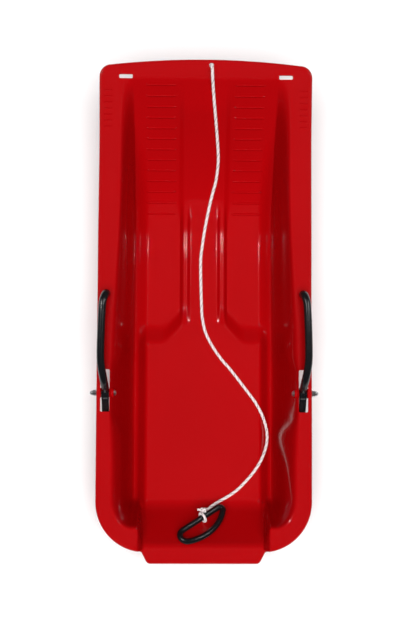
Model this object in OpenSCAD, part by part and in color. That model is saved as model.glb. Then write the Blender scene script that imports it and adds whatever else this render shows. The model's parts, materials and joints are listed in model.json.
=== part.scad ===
// Moulded toboggan with two brake levers and a pull rope.
// +Z is up, +Y points to the nose, +X is the rider's right. Millimetres.
// The origin is on the ground, under the middle of the object.

/* [Hull] */
// Overall length, tab to nose
length = 930; // [780:5:1150]
// Width across the rim
width = 400; // [340:2:480]
// Height of the rim beside the seat
rim_h = 135; // [110:1:170]
// Height of the nose edge
nose_h = 190; // [160:1:230]
// Wall thickness of the moulding
wall = 3; // [2.4:0.1:4]
// Depth of the downturned lip
lip_h = 24; // [22:1:34]
// Height of the keels under the gutters
keel_h = 2; // [1:0.5:4]

/* [Inside] */
// Distance from the hull's side to the edge of the seat and the footwell floors
floor_inset = 94; // [75:1:110]
// Distance from the hull's side to the inside of the gutter's flat bottom
gutter_inset = 70; // [63:1:98]
// Distance from the hull's side to the foot of the side wall
wall_inset = 68; // [50:1:85]
// Depth of the gutters below the footwell floor
gutter_depth = 9; // [4:0.5:14]
// Height of the seat above the footwell floor
seat_h = 18; // [10:1:30]
// Where the seat's front edge lies along Y
seat_front = -55; // [-90:5:-20]
// Length of the slope from the footwell up to the seat
toe_len = 44; // [30:2:60]
// Length of the rear wall, from the seat up to the tab
rear_run = 92; // [70:2:120]
// Width of the rear rim band
rear_rim = 42; // [30:1:60]
// Length of the ramp from the floor up to the nose
ramp_len = 265; // [200:5:320]
// Length of the flat band behind the nose edge
nose_band = 35; // [28:1:50]
// Half width of the ridge's top
ridge_half = 25; // [18:1:32]
// Number of ribs in each footwell
rib_count = 13; // [4:1:14]
// Distance from rib to rib
rib_pitch = 18; // [15:0.5:22]

/* [Tab and slots] */
// Half width of the tab where it leaves the rim
tab_half = 115; // [90:1:125]
// Length of the tab behind the rim
tab_len = 23; // [15:1:40]
// Depth of the tab's channel below the rim
tab_drop = 24; // [10:1:40]
// Length of a strap slot in the nose
strap_slot_l = 25; // [15:1:40]
// Width of a strap slot in the nose
strap_slot_w = 7.5; // [5:0.5:12]
// Distance of a strap slot from the middle
strap_slot_x = 148; // [110:1:155]
// Diameter of the rope hole
rope_hole_d = 9; // [8:0.5:12]

/* [Levers] */
// Where the lever pivot lies along Y
pivot_y = -150; // [-200:5:-110]
// Depth of the pivot below the rim
pivot_drop = 12; // [11:0.5:14]
// Thickness of a lever
lever_t = 14; // [10:0.5:15]
// Distance of a lever from the rim's outer edge, to its middle
lever_inset = 17; // [15:0.5:19]
// Length of the grip in front of the pivot
grip_len = 182; // [140:2:230]
// Height of the grip's axis above the rim
grip_lift = 31; // [26:1:45]
// Diameter of the grip
grip_d = 14.5; // [11:0.5:17]
// Length of the brake blade below the pivot
blade_len = 150; // [135:5:170]
// Width of the brake blade
blade_w = 22; // [18:1:26]
// Thickness of the brake blade
blade_t = 13; // [6:0.5:14]
// Gap between a lever and the bosses on each side of it
lever_gap = 0.4; // [0.3:0.1:0.8]

/* [Pivot fasteners] */
// Diameter of the pivot bolt
bolt_d = 6; // [5:1:8]
// Radial running clearance between lever and bolt
bolt_fit = 0.08; // [0.04:0.01:0.1]
// Thickness of a washer
washer_t = 1.5; // [1:0.1:2]

/* [Rope] */
// Diameter of the rope
rope_d = 6; // [5:0.5:7]
// Diameter of the handle's bar
handle_bar_d = 11.5; // [9:0.5:13]

/* [Hidden] */
$fn = 48;

// ---- Smooth steps -------------------------------------------------------

// Rises from 0 to 1 as t goes from 0 to 1, with a fillet at each end
function ease(t, a = 0.3, b = 0.7) =
  let (m = 2 / (1 + b - a))
  t <= 0 ? 0 :
  t < a ? m * t * t / (2 * a) :
  t < b ? m * (t - a / 2) :
  t < 1 ? 1 - m * (1 - t) * (1 - t) / (2 * (1 - b)) : 1;
function mix(p, q, t) = p + (q - p) * t;

// ---- Places worked out from the sizes -----------------------------------

lip_draft = 1;
nose_y = length / 2 - lip_draft;
tail_y = -length / 2 + lip_draft;
// Rear edge of the rim, where the tab starts
rim_tail_y = tail_y + tab_len;
// Foot of the rear wall
rear_foot_y = rim_tail_y + 4 + rear_run;
ramp_top_y = nose_y - nose_band;
ramp_foot_y = ramp_top_y - ramp_len;
half_w = width / 2 - lip_draft;
floor_half = width / 2 - floor_inset;
gutter_in = width / 2 - gutter_inset;
gutter_out = width / 2 - wall_inset;
bend_r = 4;
gutter_z = keel_h + wall;
well_z = gutter_z + gutter_depth;
// How far the middle of the nose edge bows forward of its corners
bow = 10;
nose_corner_r = 22;
rear_corner_r = 92;
tab_corner_r = 9;
tab_taper = 11;
// Shares of a wall where its bend at the rim ends and its bend at the foot starts
wall_bend = 0.14;
side_bend = 0.62;
wall_foot = 0.72;
side_foot = 0.88;
// The side wall keeps the tighter bend in a pocket round the pivot
pocket_half = 36;
pocket_fade = 50;
lever_x = width / 2 - lever_inset;
rim_in_seat = lever_x - lever_t / 2 - 1;
rim_in_nose = half_w - 40;

// ---- Surface of the inside, as a height over each point ------------------

// Height of the rim along the side
function rim_z(y) =
  rim_h - 8 * ease((seat_front - 100 - y) / 300)
  + (nose_h - rim_h) * pow(max(0, (y - 40) / (nose_y - 40)), 1.5);
// Half width at the rim's inner edge
function rim_in(y) =
  mix(rim_in_seat, rim_in_nose, ease((y + 60) / 330, 0.1, 0.5)) - 3 * ease((pivot_y - 60 - y) / 80);
// Height of the footwell floor, up the ramp to the nose
function floor_z(y) =
  let (t = (y - ramp_foot_y) / ramp_len)
  t <= 0 ? well_z :
  t < 1 ? mix(well_z, rim_z(ramp_top_y), 1.8 * t * t - 0.8 * t * t * t) : rim_z(y);
function gutter_floor(y) =
  floor_z(y) - gutter_depth * (1 - ease((y - ramp_foot_y) / (ramp_len - 10)));
// The ridge between the footwells, as a share of the seat's height
function ridge(x, y) =
  let (
    crisp = 0.62 * (1 - ease((x - ridge_half - 13) / 9)) + 0.38 * (1 - ease((x - ridge_half) / 8)),
    wide = 0.4 * (1 - ease((x - 36) / 16)),
    t = ease((y - ramp_foot_y - 20) / 45)
  ) mix(crisp, wide, t) * (1 - ease((y - ramp_top_y + 60) / 60));
// The seat's front, which curves forward to meet the ridge
function seat(x, y) =
  let (front = seat_front + toe_len + 36 * (1 - ease((x - ridge_half - 13) / 45, 0.1, 0.6)))
  ease((front - y) / toe_len, 0.35, 0.75);
function inside_z(x, y) =
  let (
    raised = floor_z(y) + seat_h * (1 - (1 - ridge(x, y)) * (1 - seat(x, y))),
    e = ease((x - floor_half) / (gutter_in - floor_half))
  ) mix(raised, gutter_floor(y), e);
// 1 in the tab's channel, 0 beside it
function channel(x) = 1 - ease((x - tab_half + 3) / 10);
// Share of the way up the wall: 0 on the inside floor, 1 on the rim
function wall_up(x, y) =
  let (
    side = (rim_in(y) - x) / (rim_in(y) - gutter_out),
    rear_edge = rim_tail_y + mix(rear_rim, 4, channel(x)),
    rear = (y - rear_edge) / (rear_foot_y - rear_edge),
    s = max(0, 1 - side),
    r = max(0, 1 - rear),
    share = s * s / max(s * s + r * r, 0.000001),
    broad = ease((abs(y - pivot_y) - pocket_half) / pocket_fade)
  ) 1 - ease(1 - sqrt(s * s + r * r), mix(wall_bend, side_bend, broad * share),
    mix(wall_foot, side_foot, share));
function tab_z(x, y) = rim_z(y) - tab_drop * channel(x) * ease((ramp_foot_y - y) / 40)
  - 4 * ease((rim_tail_y - y) / tab_len, 0.3, 1);
function top_z(x, y) =
  let (ax = abs(x)) mix(inside_z(ax, y), tab_z(ax, y), wall_up(ax, y));

// ---- Outline of the right side, nose to tail: [x, y, normal x, normal y] --

nose_corner_x = half_w - 2 - nose_corner_r;
rear_corner_x = half_w - rear_corner_r;
function arc(cx, cy, r, a0, a1, n) = [
  for (i = [0:n]) let (a = mix(a0, a1, i / n)) [cx + r * cos(a), cy + r * sin(a), cos(a), sin(a)]
];
nose_arc = arc(nose_corner_x, nose_y - bow - nose_corner_r, nose_corner_r, 90, 0, 4);
side_top_y = nose_y - bow - nose_corner_r;
side_end_y = rim_tail_y + rear_corner_r;
// Stations along the straight side, closer together where the floor bends
side_y = concat(
  [for (y = [side_top_y - 14:-22:ramp_foot_y + 8]) y],
  [for (i = [0:3]) mix(ramp_foot_y - 10, seat_front + toe_len + 44, i / 3)],
  [for (i = [0:6]) mix(seat_front + toe_len + 24, seat_front - 4, i / 6)],
  [for (i = [1:5]) mix(seat_front - 4, rear_foot_y + 12, i / 5)]
);
side = [for (y = side_y) if (y > side_end_y + 4)
  [half_w - 2 * ease((y - 100) / 250), y, 1, 0]];
rear_end_a = -acos((tab_half + 3 - rear_corner_x) / rear_corner_r);
rear_arc = arc(rear_corner_x, side_end_y, rear_corner_r, 0, rear_end_a, 9);
tab_a = -atan2(tab_taper, tab_len);
tab_side = [
  [tab_half, rim_tail_y - 2, cos(tab_a), sin(tab_a)],
  [tab_half - tab_taper * 0.35, rim_tail_y - tab_len * 0.35, cos(tab_a), sin(tab_a)]
];
tab_arc = arc(tab_half - tab_taper - tab_corner_r + 3, tail_y + tab_corner_r, tab_corner_r, tab_a, -90, 3);
outline = concat(nose_arc, side, rear_arc, tab_side, tab_arc);
rows = len(outline);

// ---- Grid over the inside, then a rolled lip round the edge --------------

// Distance from the middle of each column of row i, out to the start of the lip's bend
function half_columns(y, edge) =
  let (r = rim_in(y), g = gutter_out, full = half_w - bend_r)
  [for (x = [0, ridge_half - 3, ridge_half + 3, ridge_half + 13, ridge_half + 19, ridge_half + 28,
      80, floor_half - 3, floor_half + 4, mix(floor_half, gutter_in, 0.55), gutter_in, g,
      mix(g, r, 0.12), mix(g, r, 0.35), mix(g, r, 0.55), mix(g, r, 0.75), mix(g, r, 0.92), r + 1, mix(r, full, 0.5), full])
    x * edge / full];
half_n = len(half_columns(0, 1));
cols = 2 * half_n - 1;
function bowed(x, y, edge) =
  bow * (1 - pow(x / edge, 2)) * ease((y - ramp_top_y + 60) / (nose_band + 40));
function grid_point(i, j) =
  let (
    o = outline[i],
    edge = o[0] - bend_r * o[2],
    y = o[1] - bend_r * o[3],
    k = j - half_n + 1,
    x = sign(k) * half_columns(y, edge)[abs(k)],
    yb = y + bowed(x, y, edge)
  ) [x, yb, top_z(x, yb)];
grid = [for (i = [0:rows - 1]) [for (j = [0:cols - 1]) grid_point(i, j)]];
function unit(v) = v / norm(v);
// Underside of the grid, one wall below it along the surface's normal
function under(i, j) =
  let (
    a = grid[min(i + 1, rows - 1)][j] - grid[max(i - 1, 0)][j],
    b = grid[i][min(j + 1, cols - 1)] - grid[i][max(j - 1, 0)],
    n = unit(cross(b, a)),
    rim = i == 0 || i == rows - 1 || j == 0 || j == cols - 1
  ) grid[i][j] + (rim ? [0, 0, -wall] : (n[2] > 0 ? -wall : wall) * n);

// The edge of the grid as one loop: [row, column, normal x, normal y]
loop = concat(
  [for (i = [0:rows - 2]) [i, cols - 1, outline[i][2], outline[i][3]]],
  [for (j = [cols - 1:-1:1]) let (c = outline[rows - 1])
    j == cols - 1 ? [rows - 1, j, c[2], c[3]] : [rows - 1, j, 0, -1]],
  [for (i = [rows - 1:-1:1]) [i, 0, -outline[i][2], outline[i][3]]],
  [for (j = [0:cols - 2]) [0, j, 0, 1]]
);
loop_n = len(loop);
function lip_depth(y) = lip_h - (lip_h - 12) * max(ease((y - 250) / 150), ease((-300 - y) / 110));
// Points round the bend: [outwards, down], outside and inside
function bend_out(d) = [
  [bend_r * 0.7, bend_r * 0.3], [bend_r, bend_r], [bend_r + lip_draft, d]];
function bend_in(d) = [
  [(bend_r - wall) * 0.7, wall + (bend_r - wall) * 0.3], [bend_r - wall, bend_r],
  [bend_r - wall + lip_draft, d]];
function lip_point(k, inside, s) =
  let (
    l = loop[k],
    p = grid[l[0]][l[1]],
    b = (inside ? bend_in(lip_depth(p[1])) : bend_out(lip_depth(p[1])))[s]
  ) [p[0] + l[2] * b[0], p[1] + l[3] * b[0], p[2] - b[1]];

module shell() {
  top = [for (i = [0:rows - 1]) for (j = [0:cols - 1]) grid[i][j]];
  below = [for (i = [0:rows - 1]) for (j = [0:cols - 1]) under(i, j)];
  lip_outer = [for (s = [0:2]) for (k = [0:loop_n - 1]) lip_point(k, false, s)];
  lip_inner = [for (s = [0:2]) for (k = [0:loop_n - 1]) lip_point(k, true, s)];
  n = rows * cols;
  o0 = 2 * n;
  i0 = o0 + 3 * loop_n;
  // Index of the point of ring s, from the grid's own edge at s = -1
  function ring(k, base, offset, s) =
    let (m = k % loop_n, l = loop[m]) s < 0 ? offset + l[0] * cols + l[1] : base + s * loop_n + m;
  function quad(a, b, c, d) = [[a, b, c], [a, c, d]];
  faces = [
    for (i = [0:rows - 2]) for (j = [0:cols - 2])
      let (a = i * cols + j)
      each concat(
        quad(a, a + 1, a + cols + 1, a + cols),
        quad(n + a + cols, n + a + cols + 1, n + a + 1, n + a)),
    for (k = [0:loop_n - 1]) for (s = [-1:1])
      each concat(
        quad(ring(k, o0, 0, s), ring(k, o0, 0, s + 1), ring(k + 1, o0, 0, s + 1), ring(k + 1, o0, 0, s)),
        quad(ring(k + 1, i0, n, s), ring(k + 1, i0, n, s + 1), ring(k, i0, n, s + 1), ring(k, i0, n, s))),
    for (k = [0:loop_n - 1])
      each quad(ring(k, o0, 0, 2), ring(k, i0, n, 2), ring(k + 1, i0, n, 2), ring(k + 1, o0, 0, 2))
  ];
  polyhedron(points = concat(top, below, lip_outer, lip_inner), faces = faces, convexity = 12);
}

// ---- Hull ----------------------------------------------------------------

pivot_z = rim_z(pivot_y) - pivot_drop;
// Faces along X at the pivot, from the tub outwards
boss_in = rim_in(pivot_y) - 8;
lever_in = lever_x - lever_t / 2;
lever_out = lever_x + lever_t / 2;
lip_face = width / 2;
boss_r = 9;
bolt_hole_r = bolt_d / 2 + 0.1;
slot_front = pivot_y + 43;
slot_rear = pivot_y - 35;
slot_side = 1.5;
strap_slot_y = ramp_top_y + 3;
rope_hole_y = nose_y - 11;
rope_hole_x = 10;
keel_half_w = 5;
keel_front = ramp_foot_y - 20;

// A rod along X from x0 to x1, on the pivot
module pivot_rod(x0, x1, r) {
  translate([x0, pivot_y, pivot_z]) rotate([0, 90, 0]) cylinder(r = r, h = x1 - x0);
}
// An upright slot with round ends, along X or Y
module upright_slot(x0, x1, y0, y1, z0, z1) {
  r = min(x1 - x0, y1 - y0, 10) * 0.25;
  translate([0, 0, z0]) linear_extrude(z1 - z0) union() {
    translate([x0 + r, y0]) square([x1 - x0 - 2 * r, y1 - y0]);
    translate([x0, y0 + r]) square([x1 - x0, y1 - y0 - 2 * r]);
    for (x = [x0 + r, x1 - r], y = [y0 + r, y1 - r]) translate([x, y]) circle(r = r);
  }
}
// A keel is a straight bar with round ends under the gutter
module keel() {
  gutter_x = (gutter_in + gutter_out) / 2;
  translate([gutter_x, 0, 0]) linear_extrude(keel_h + wall * 0.6) union() {
    translate([-keel_half_w, rear_foot_y + 20])
      square([2 * keel_half_w, keel_front - rear_foot_y - 20]);
    for (y = [rear_foot_y + 20, keel_front]) translate([0, y]) circle(r = keel_half_w);
  }
}
// Ribs across a footwell, up the ramp
rib_r = 2.4;
rib_proud = 1.3;
rib_from = ridge_half + 28;
module ribs() {
  for (k = [0:rib_count - 1]) {
    y = ramp_top_y - 10 - k * rib_pitch;
    translate([rib_from, y, floor_z(y) + rib_proud - rib_r]) rotate([0, 90, 0])
      cylinder(r = rib_r, h = floor_half - 3 - rib_from);
  }
}
module both_sides() {
  children();
  mirror([1, 0, 0]) children();
}
module hull() {
  color([0.78, 0.02, 0.03]) difference() {
    union() {
      shell();
      both_sides() {
        keel();
        ribs();
        pivot_rod(boss_in, lever_in - lever_gap, boss_r);
        pivot_rod(lever_out + lever_gap, lip_face - wall / 2, boss_r);
      }
    }
    both_sides() {
      upright_slot(lever_in - slot_side, lever_out + slot_side, slot_rear, slot_front,
        pivot_z + 5, rim_h + 30);
      upright_slot(strap_slot_x - strap_slot_l / 2, strap_slot_x + strap_slot_l / 2,
        strap_slot_y - strap_slot_w / 2, strap_slot_y + strap_slot_w / 2, nose_h - 60, nose_h + 30);
      pivot_rod(boss_in - 5, lip_face + 5, bolt_hole_r);
    }
    translate([rope_hole_x, rope_hole_y, nose_h - 40]) cylinder(d = rope_hole_d, h = 80);
  }
}

// ---- Sweeps --------------------------------------------------------------

// Direction of a line at point i; a closed line's last point leads to its first
function heading(line, i, closed) =
  let (n = len(line))
  closed ? unit(line[(i + 1) % n] - line[(i + n - 1) % n]) :
  unit(line[min(i + 1, n - 1)] - line[max(i - 1, 0)]);
// Side directions, each squared to the line and carried on from the one before
function sides_of(line, closed, i, u) = i == len(line) ? [] :
  let (t = heading(line, i, closed), v = unit(u - (u * t) * t))
  concat([v], sides_of(line, closed, i + 1, v));
// A round bar along a line of points
module swept(line, r, sides, start = [1, 0, 0], closed = false) {
  n = len(line);
  us = sides_of(line, closed, 0, start);
  points = [
    for (i = [0:n - 1]) let (u = us[i], v = cross(heading(line, i, closed), u))
      for (k = [0:sides - 1]) let (a = 360 * k / sides) line[i] + r * (cos(a) * u + sin(a) * v)
  ];
  wall_faces = [
    for (i = [0:closed ? n - 1 : n - 2]) for (k = [0:sides - 1])
      let (a = i * sides, b = ((i + 1) % n) * sides, m = (k + 1) % sides)
      each [[a + k, b + k, b + m], [a + k, b + m, a + m]]
  ];
  ends = closed ? [] :
    [[for (k = [0:sides - 1]) k], [for (k = [sides - 1:-1:0]) (n - 1) * sides + k]];
  polyhedron(points = points, faces = concat(wall_faces, ends), convexity = 10);
}
// A smooth line through points: each step longer than the limit gets its middle
function nth(p, i) = p[max(0, min(len(p) - 1, i))];
function halfway(p, i) = (9 * (nth(p, i) + nth(p, i + 1)) - nth(p, i - 1) - nth(p, i + 2)) / 16;
function smoothed(p, limit) = [
  for (i = [0:len(p) - 1]) each
    norm(nth(p, i + 1) - nth(p, i)) > limit ? [nth(p, i), halfway(p, i)] : [nth(p, i)]
];

// ---- Levers --------------------------------------------------------------

grip_r = grip_d / 2;
grip_z = rim_z(pivot_y) + grip_lift;
grip_x = lever_x + 7;
hub_r = 12;
blade_a = 35;
// Middle line of the grip of the right lever, from the hub forwards
grip_path = [
  [lever_x, pivot_y + 2, pivot_z + 2],
  [lever_x, pivot_y + 12, pivot_z + 20],
  [lever_x + 2.5, pivot_y + 28, grip_z - 7],
  [grip_x - 0.5, pivot_y + 54, grip_z - 1],
  [grip_x, pivot_y + grip_len * 0.5, grip_z],
  [grip_x - 2, pivot_y + grip_len - 26, grip_z - 1],
  [grip_x - 5, pivot_y + grip_len - 8, grip_z - 4],
  [lever_x - 1, pivot_y + grip_len, grip_z - 11],
  [lever_x - 2, pivot_y + grip_len, rim_z(pivot_y + grip_len) + grip_r + 0.5]
];
tooth = 8;
// Side view of the blade, hub at the origin, blade along -Y
module blade_outline() {
  polygon([
    [0, hub_r - 2], [-blade_len + 10, blade_w / 2 - 2], [-blade_len, blade_w / 2 - 8],
    for (i = [0:3]) each [
      [-blade_len + 2 + i * tooth, -blade_w / 2], [-blade_len + (i + 1) * tooth, -blade_w / 2 + 6]],
    [-blade_len + 4 * tooth + 4, -blade_w / 2 + 4], [0, -hub_r + 2]
  ]);
}
module lever() {
  color([0.04, 0.04, 0.045]) difference() {
    union() {
      pivot_rod(lever_in, lever_out, hub_r);
      // The outline's plane is turned to face along X
      translate([lever_x - blade_t / 2, pivot_y, pivot_z]) rotate([blade_a, 0, 0])
        rotate([90, 0, 90]) linear_extrude(blade_t) blade_outline();
      swept(smoothed(smoothed(grip_path, 12), 10), grip_r, 14);
    }
    pivot_rod(lever_in - 5, lever_out + 5, bolt_d / 2 + bolt_fit);
  }
}
module brake_lever_right() { lever(); }
module brake_lever_left() { mirror([1, 0, 0]) lever(); }

// ---- Pivot fasteners -----------------------------------------------------

head_r = bolt_d * 0.875;
head_h = bolt_d * 0.55;
head_face = boss_in - washer_t;
washer_rim = 3;
washer_r = bolt_d / 2 + washer_rim;
nut_face = lip_face + washer_t;
nut_flats = bolt_d * 1.667;
nut_hex_h = bolt_d * 0.7;
nut_h = bolt_d * 1.7;
nut_dome_r = nut_flats * 0.47;
bolt_end = nut_face + nut_h - 3;
module turned_to_x(x) {
  translate([x, pivot_y, pivot_z]) rotate([0, 90, 0]) children();
}
module pivot_bolt() {
  color([0.72, 0.72, 0.74]) difference() {
    union() {
      pivot_rod(head_face - 0.01, bolt_end, bolt_d / 2);
      // The button head is a slice of a ball
      intersection() {
        pivot_rod(head_face - head_h, head_face, head_r);
        turned_to_x(head_face + 2.4) sphere(r = head_h + 2.9);
      }
    }
    // Hexagon socket
    turned_to_x(head_face - head_h - 1) rotate(30) cylinder(d = bolt_d * 0.75, h = 2.8, $fn = 6);
  }
}
module washer(x) {
  color([0.75, 0.75, 0.77]) difference() {
    pivot_rod(x, x + washer_t, washer_r);
    pivot_rod(x - 1, x + washer_t + 1, bolt_d / 2 + 0.2);
  }
}
module cap_nut() {
  color([0.75, 0.75, 0.77]) difference() {
    union() {
      turned_to_x(nut_face) cylinder(d = nut_flats / cos(30), h = nut_hex_h, $fn = 6);
      intersection() {
        pivot_rod(nut_face, nut_face + nut_h, nut_dome_r);
        turned_to_x(nut_face + nut_h - nut_dome_r) sphere(r = nut_dome_r);
      }
      pivot_rod(nut_face + nut_hex_h - 0.5, nut_face + nut_h - nut_dome_r, nut_dome_r);
    }
    pivot_rod(nut_face - 1, bolt_end + 0.4, bolt_d / 2 + 0.05);
  }
}
module pivot_bolt_right() { pivot_bolt(); }
module pivot_bolt_left() { mirror([1, 0, 0]) pivot_bolt(); }
module inner_washer_right() { washer(head_face); }
module inner_washer_left() { mirror([1, 0, 0]) washer(head_face); }
module outer_washer_right() { washer(lip_face); }
module outer_washer_left() { mirror([1, 0, 0]) washer(lip_face); }
module cap_nut_right() { cap_nut(); }
module cap_nut_left() { mirror([1, 0, 0]) cap_nut(); }

// ---- Rope, knots and handle ----------------------------------------------

// Route of the rope's middle line, from under the nose to the handle
rope_route = [
  [10, 453, 174], [10, 453, 191], [10.5, 449, 198], [11, 441, 201], [11.5, 431, 197.5],
  [12.5, 421, 188.5], [14, 407, 174], [17, 381, 155.5], [20, 358, 136], [24, 324, 107.5],
  [26, 298, 86.5], [24.5, 275, 69.5], [21.5, 257, 58], [17, 241, 49.5], [10, 212, 39.5],
  [2, 171, 36], [-3, 137, 35.5], [-6, 103, 35.5], [-4, 22, 35.5], [-2, -4, 35.5],
  [4, -30, 35.5], [17, -56, 35.5], [35, -82, 35.5], [55, -105, 35.5], [95, -157, 35.5],
  [104, -171, 35.5], [112, -186, 33.5], [119, -203, 23.5], [123, -219, 17.5], [123.5, -236, 17.5],
  [119.5, -254, 22.5], [112, -272, 33.5], [104, -286, 36], [90, -305, 35.5], [68, -328, 35.5],
  [52, -340, 36], [38, -348, 38.5], [27, -354, 43], [17, -360, 50], [7, -367.5, 60]
];
rope_r = rope_d / 2;
rope_sides = 8;
module pull_rope() {
  color([0.9, 0.88, 0.86]) swept(smoothed(rope_route, 16), rope_r, rope_sides);
}
// A stopper knot, hanging from the rope's first point
module nose_knot() {
  top = rope_route[0];
  color([0.9, 0.88, 0.86]) translate(top + [0, 0, -1]) union() {
    sphere(r = rope_r * 2.5);
    translate([0, 0, -rope_r * 1.5]) rotate([25, 0, 0]) rotate_extrude()
      translate([rope_r * 1.6, 0]) circle(r = rope_r);
    translate([rope_r * 1.2, 0, -rope_r * 5]) cylinder(r = rope_r, h = rope_r * 4);
  }
}

// The handle is a flat loop that leans on the rear wall
handle_at = [0, -365, 58.5];
handle_lean = 140.6;
handle_turn = -43.7;
handle_big = [-29, 60];
handle_l = 83;
handle_r1 = 14.25;
handle_r2 = 6.5;
handle_bow = 85;
bar_r = handle_bar_d / 2;
// Tangent of the straight side, and the middle of the bowed side's arc
handle_slant = asin((handle_r1 - handle_r2) / handle_l);
bow_1 = handle_bow - handle_r1;
bow_2 = handle_bow - handle_r2;
bow_x = (bow_1 * bow_1 - bow_2 * bow_2 + handle_l * handle_l) / (2 * handle_l);
bow_y = -sqrt(bow_1 * bow_1 - bow_x * bow_x);
bow_from = atan2(-bow_y, handle_l - bow_x);
bow_to = atan2(-bow_y, -bow_x);
module in_handle() {
  translate(handle_at) rotate([handle_lean, 0, 0])
    translate([handle_big[0], handle_big[1], 0]) rotate([0, 0, handle_turn]) children();
}
// Along the straight side, from the big end
module on_straight(d) {
  rotate([0, 0, handle_slant]) translate([0, -handle_r1, 0]) rotate([0, 90, 0])
    translate([0, 0, d]) children();
}
function ring_arc(x, y, r, from, to, n) = [
  for (i = [0:n]) let (a = mix(from, to, i / n)) [x + r * cos(a), y + r * sin(a), 0]];
handle_line = concat(
  ring_arc(0, 0, handle_r1, bow_to, 270 + handle_slant, 11),
  ring_arc(handle_l, 0, handle_r2, -90 + handle_slant, bow_from, 8),
  ring_arc(bow_x, bow_y, handle_bow, bow_from, bow_to, 10)
);
// The arcs share their end points, so each repeated one is left out
handle_ring = [for (i = [0:len(handle_line) - 1])
  if (norm(handle_line[i] - handle_line[(i + 1) % len(handle_line)]) > 0.01) handle_line[i]];
module rope_handle() {
  color([0.035, 0.035, 0.04]) in_handle()
    swept(handle_ring, bar_r, 14, start = [0, 0, 1], closed = true);
}
// The knot is a turn of rope round the handle's straight side, and a short body
knot_along = 47;
knot_turn_r = bar_r + rope_r * 0.9;
knot_body_r = rope_r * 2.3;
rope_end = rope_route[len(rope_route) - 1];
knot_body = [for (p = [[2.5, 0, -1.5], [-3, -3, 3.5], [-10, -3, 5]]) rope_end + p];
module handle_knot() {
  color([0.9, 0.88, 0.86]) union() {
    in_handle() on_straight(knot_along)
      swept([for (i = [0:19]) knot_turn_r * [cos(18 * i), sin(18 * i), 0]],
        rope_r, 10, start = [0, 0, 1], closed = true);
    swept(knot_body, knot_body_r, 12);
  }
}

hull();
brake_lever_left();
brake_lever_right();
pivot_bolt_left();
pivot_bolt_right();
inner_washer_left();
inner_washer_right();
outer_washer_left();
outer_washer_right();
cap_nut_left();
cap_nut_right();
pull_rope();
nose_knot();
handle_knot();
rope_handle();
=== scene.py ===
import json
import math

import bmesh
import bpy
import numpy as np
from mathutils import Matrix, Vector

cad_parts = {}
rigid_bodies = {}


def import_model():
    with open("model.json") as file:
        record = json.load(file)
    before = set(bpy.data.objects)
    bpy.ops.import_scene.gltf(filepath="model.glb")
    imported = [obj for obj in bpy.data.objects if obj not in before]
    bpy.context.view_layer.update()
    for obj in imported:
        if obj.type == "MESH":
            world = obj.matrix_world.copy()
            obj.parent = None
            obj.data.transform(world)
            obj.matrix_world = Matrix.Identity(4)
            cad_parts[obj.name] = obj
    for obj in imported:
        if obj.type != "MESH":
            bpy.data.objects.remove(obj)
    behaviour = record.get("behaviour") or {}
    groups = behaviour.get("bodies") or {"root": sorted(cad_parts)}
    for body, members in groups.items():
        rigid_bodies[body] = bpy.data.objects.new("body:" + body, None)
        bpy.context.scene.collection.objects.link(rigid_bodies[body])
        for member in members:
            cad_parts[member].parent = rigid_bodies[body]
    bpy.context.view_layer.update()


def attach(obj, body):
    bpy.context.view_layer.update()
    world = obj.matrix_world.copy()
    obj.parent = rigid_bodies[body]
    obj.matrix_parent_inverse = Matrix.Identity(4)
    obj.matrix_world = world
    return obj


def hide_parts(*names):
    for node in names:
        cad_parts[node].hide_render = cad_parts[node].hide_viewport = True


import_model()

MM = 0.001
SLED, LEFT, RIGHT = "sled", "brake_left", "brake_right"


# ---- Driving sizes, millimetres, as in the CAD model ------------------------

LENGTH, WIDTH, RIM_H, NOSE_H, WALL, LIP_H, KEEL_H = 930, 400, 135, 190, 3, 24, 2
FLOOR_INSET, GUTTER_INSET, WALL_INSET, GUTTER_DEPTH = 94, 70, 68, 9
SEAT_H, SEAT_FRONT, TOE_LEN, REAR_RUN, REAR_RIM = 18, -55, 44, 92, 42
RAMP_LEN, NOSE_BAND, RIDGE_HALF, RIB_COUNT, RIB_PITCH = 265, 35, 25, 13, 18
TAB_HALF, TAB_LEN, TAB_DROP, TAB_TAPER, TAB_R = 115, 23, 24, 11, 9
STRAP_L, STRAP_W, STRAP_X, ROPE_HOLE_D = 25, 7.5, 148, 9
PIVOT_Y, PIVOT_DROP, LEVER_T, LEVER_INSET = -150, 12, 14, 17
GRIP_LEN, GRIP_LIFT, GRIP_D, BLADE_LEN, BLADE_W, BLADE_T = 182, 31, 14.5, 150, 22, 13
BOLT_D, WASHER_T, WASHER_RIM, ROPE_D, BAR_D = 6, 1.5, 3, 6, 11.5

LIP_DRAFT, BEND_R, BOW, NOSE_R, REAR_R = 1, 4, 10, 22, 92
POCKET_HALF, POCKET_FADE = 36, 50
NOSE_Y, TAIL_Y = LENGTH / 2 - LIP_DRAFT, -LENGTH / 2 + LIP_DRAFT
RIM_TAIL_Y = TAIL_Y + TAB_LEN
REAR_FOOT_Y = RIM_TAIL_Y + 4 + REAR_RUN
RAMP_TOP_Y = NOSE_Y - NOSE_BAND
RAMP_FOOT_Y = RAMP_TOP_Y - RAMP_LEN
HALF_W = WIDTH / 2 - LIP_DRAFT
FLOOR_HALF, GUTTER_IN = WIDTH / 2 - FLOOR_INSET, WIDTH / 2 - GUTTER_INSET
GUTTER_OUT = WIDTH / 2 - WALL_INSET
GUTTER_Z = KEEL_H + WALL
WELL_Z = GUTTER_Z + GUTTER_DEPTH
LEVER_X = WIDTH / 2 - LEVER_INSET
RIM_IN_SEAT, RIM_IN_NOSE = LEVER_X - LEVER_T / 2 - 1, HALF_W - 40

# The rim's top line: its rise to the nose, and its dip towards the tail
RISE_FROM, RISE_POWER = 40, 1.5
DIP, DIP_FROM, DIP_RUN = 8, SEAT_FRONT - 100, 300
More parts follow.
